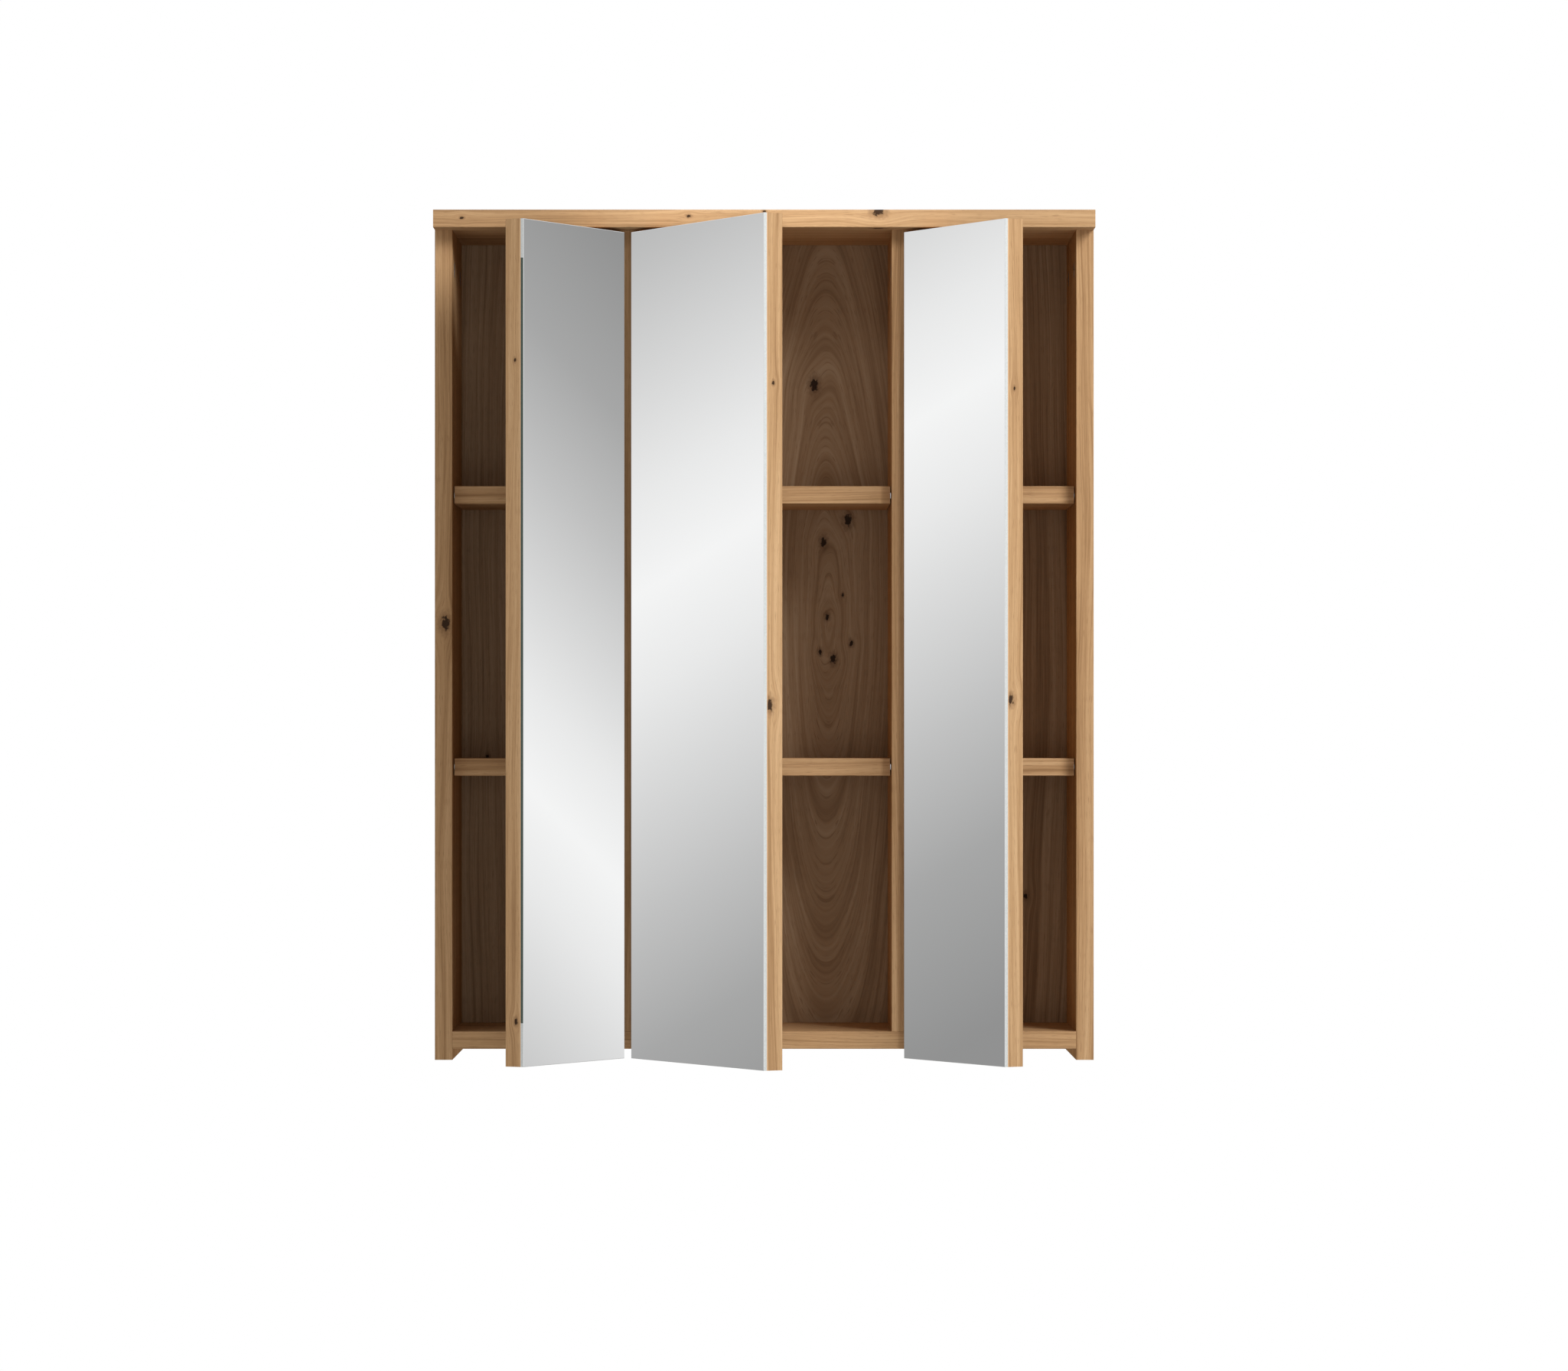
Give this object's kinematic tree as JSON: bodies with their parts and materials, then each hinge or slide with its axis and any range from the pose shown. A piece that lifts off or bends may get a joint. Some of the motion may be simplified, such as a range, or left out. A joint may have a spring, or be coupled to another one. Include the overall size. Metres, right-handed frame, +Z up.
{
  "type": "mirror cabinet",
  "caption": "Wall-hung bathroom cabinet in light oak decor with full-face mirror doors on concealed cup hinges, an overhanging top, dividers and shelves in every bay.",
  "frame": {"origin": "on the wall plane, midway between the round entry holes of the two hanger plates", "axes": "+X to the right seen from the front, +Y into the wall, +Z up; the doors open towards -Y"},
  "size_m": [0.6, 0.4234, 0.772],
  "materials": {
    "oak_decor": "matt knotty light oak decor foil with edge bands",
    "back_decor": "thin hardboard with the same oak decor, vertical grain",
    "mirror": "silvered float glass with ground edges",
    "nickel": "nickel-plated pressed steel and die-cast zinc",
    "steel": "zinc-plated steel",
    "zinc": "galvanised sheet steel",
    "beech": "raw turned beech"
  },
  "bodies": {
    "carcass": {"top_panel": "oak_decor", "bottom_panel": "oak_decor", "left_side_panel": "oak_decor", "right_side_panel": "oak_decor", "left_divider": "oak_decor", "right_divider": "oak_decor", "back_panel": "back_decor", "left_lower_shelf": "oak_decor", "left_upper_shelf": "oak_decor", "middle_lower_shelf": "oak_decor", "middle_upper_shelf": "oak_decor", "right_lower_shelf": "oak_decor", "right_upper_shelf": "oak_decor", "shelf_pins": "steel", "cam_housings": "nickel", "cam_bolts": "steel", "wood_dowels": "beech", "divider_screws": "steel", "left_wall_hanger": "zinc", "right_wall_hanger": "zinc", "wall_hanger_screws": "steel", "hinge_mounting_plates": "nickel", "hinge_plate_screws": "steel", "hinge_arms": "nickel", "hinge_arm_screws": "steel", "hinge_arm_pins": "steel"},
    "left_door": {"left_door_panel": "oak_decor", "left_mirror": "mirror", "left_hinge_cups": "nickel", "left_hinge_cup_pins": "steel", "left_hinge_cup_screws": "steel"},
    "left_hinge_outer_links": {"left_outer_links": "nickel"},
    "left_hinge_inner_links": {"left_inner_links": "nickel"},
    "middle_door": {"middle_door_panel": "oak_decor", "middle_mirror": "mirror", "middle_hinge_cups": "nickel", "middle_hinge_cup_pins": "steel", "middle_hinge_cup_screws": "steel"},
    "middle_hinge_outer_links": {"middle_outer_links": "nickel"},
    "middle_hinge_inner_links": {"middle_inner_links": "nickel"},
    "right_door": {"right_door_panel": "oak_decor", "right_mirror": "mirror", "right_hinge_cups": "nickel", "right_hinge_cup_pins": "steel", "right_hinge_cup_screws": "steel"},
    "right_hinge_outer_links": {"right_outer_links": "nickel"},
    "right_hinge_inner_links": {"right_inner_links": "nickel"}
  },
  "joints": [
    {"name": "left_outer_link_turn", "type": "hinge", "parent": "carcass", "child": "left_hinge_outer_links", "pos_m": [-0.1469, -0.188, 0], "axis": [0, 0, 1], "range_deg": [-9.84, 20.18]},
    {"name": "left_door_swing", "type": "hinge", "parent": "left_hinge_outer_links", "child": "left_door", "pos_m": [-0.14199, -0.21175, 0], "axis": [0, 0, 1], "range_deg": [-80.67, 39.33]},
    {"name": "left_inner_link_turn", "type": "hinge", "parent": "carcass", "child": "left_hinge_inner_links", "pos_m": [-0.1665, -0.1941, 0], "axis": [0, 0, 1], "range_deg": [-8.86, 18.16]},
    {"name": "middle_outer_link_turn", "type": "hinge", "parent": "carcass", "child": "middle_hinge_outer_links", "pos_m": [-0.1011, -0.188, 0], "axis": [0, 0, -1], "range_deg": [-9.84, 20.18]},
    {"name": "middle_door_swing", "type": "hinge", "parent": "middle_hinge_outer_links", "child": "middle_door", "pos_m": [-0.10601, -0.21175, 0], "axis": [0, 0, -1], "range_deg": [-80.67, 39.33]},
    {"name": "middle_inner_link_turn", "type": "hinge", "parent": "carcass", "child": "middle_hinge_inner_links", "pos_m": [-0.0815, -0.1941, 0], "axis": [0, 0, -1], "range_deg": [-8.86, 18.16]},
    {"name": "right_outer_link_turn", "type": "hinge", "parent": "carcass", "child": "right_hinge_outer_links", "pos_m": [0.1469, -0.188, 0], "axis": [0, 0, -1], "range_deg": [-9.84, 20.18]},
    {"name": "right_door_swing", "type": "hinge", "parent": "right_hinge_outer_links", "child": "right_door", "pos_m": [0.14199, -0.21175, 0], "axis": [0, 0, -1], "range_deg": [-80.67, 39.33]},
    {"name": "right_inner_link_turn", "type": "hinge", "parent": "carcass", "child": "right_hinge_inner_links", "pos_m": [0.1665, -0.1941, 0], "axis": [0, 0, -1], "range_deg": [-8.86, 18.16]}
  ],
  "couplings": [
    {"joint": "left_outer_link_turn", "follows": "left_door_swing", "ratio": -0.25},
    {"joint": "left_inner_link_turn", "follows": "left_door_swing", "ratio": -0.225},
    {"joint": "middle_outer_link_turn", "follows": "middle_door_swing", "ratio": -0.25},
    {"joint": "middle_inner_link_turn", "follows": "middle_door_swing", "ratio": -0.225},
    {"joint": "right_outer_link_turn", "follows": "right_door_swing", "ratio": -0.25},
    {"joint": "right_inner_link_turn", "follows": "right_door_swing", "ratio": -0.225}
  ]
}
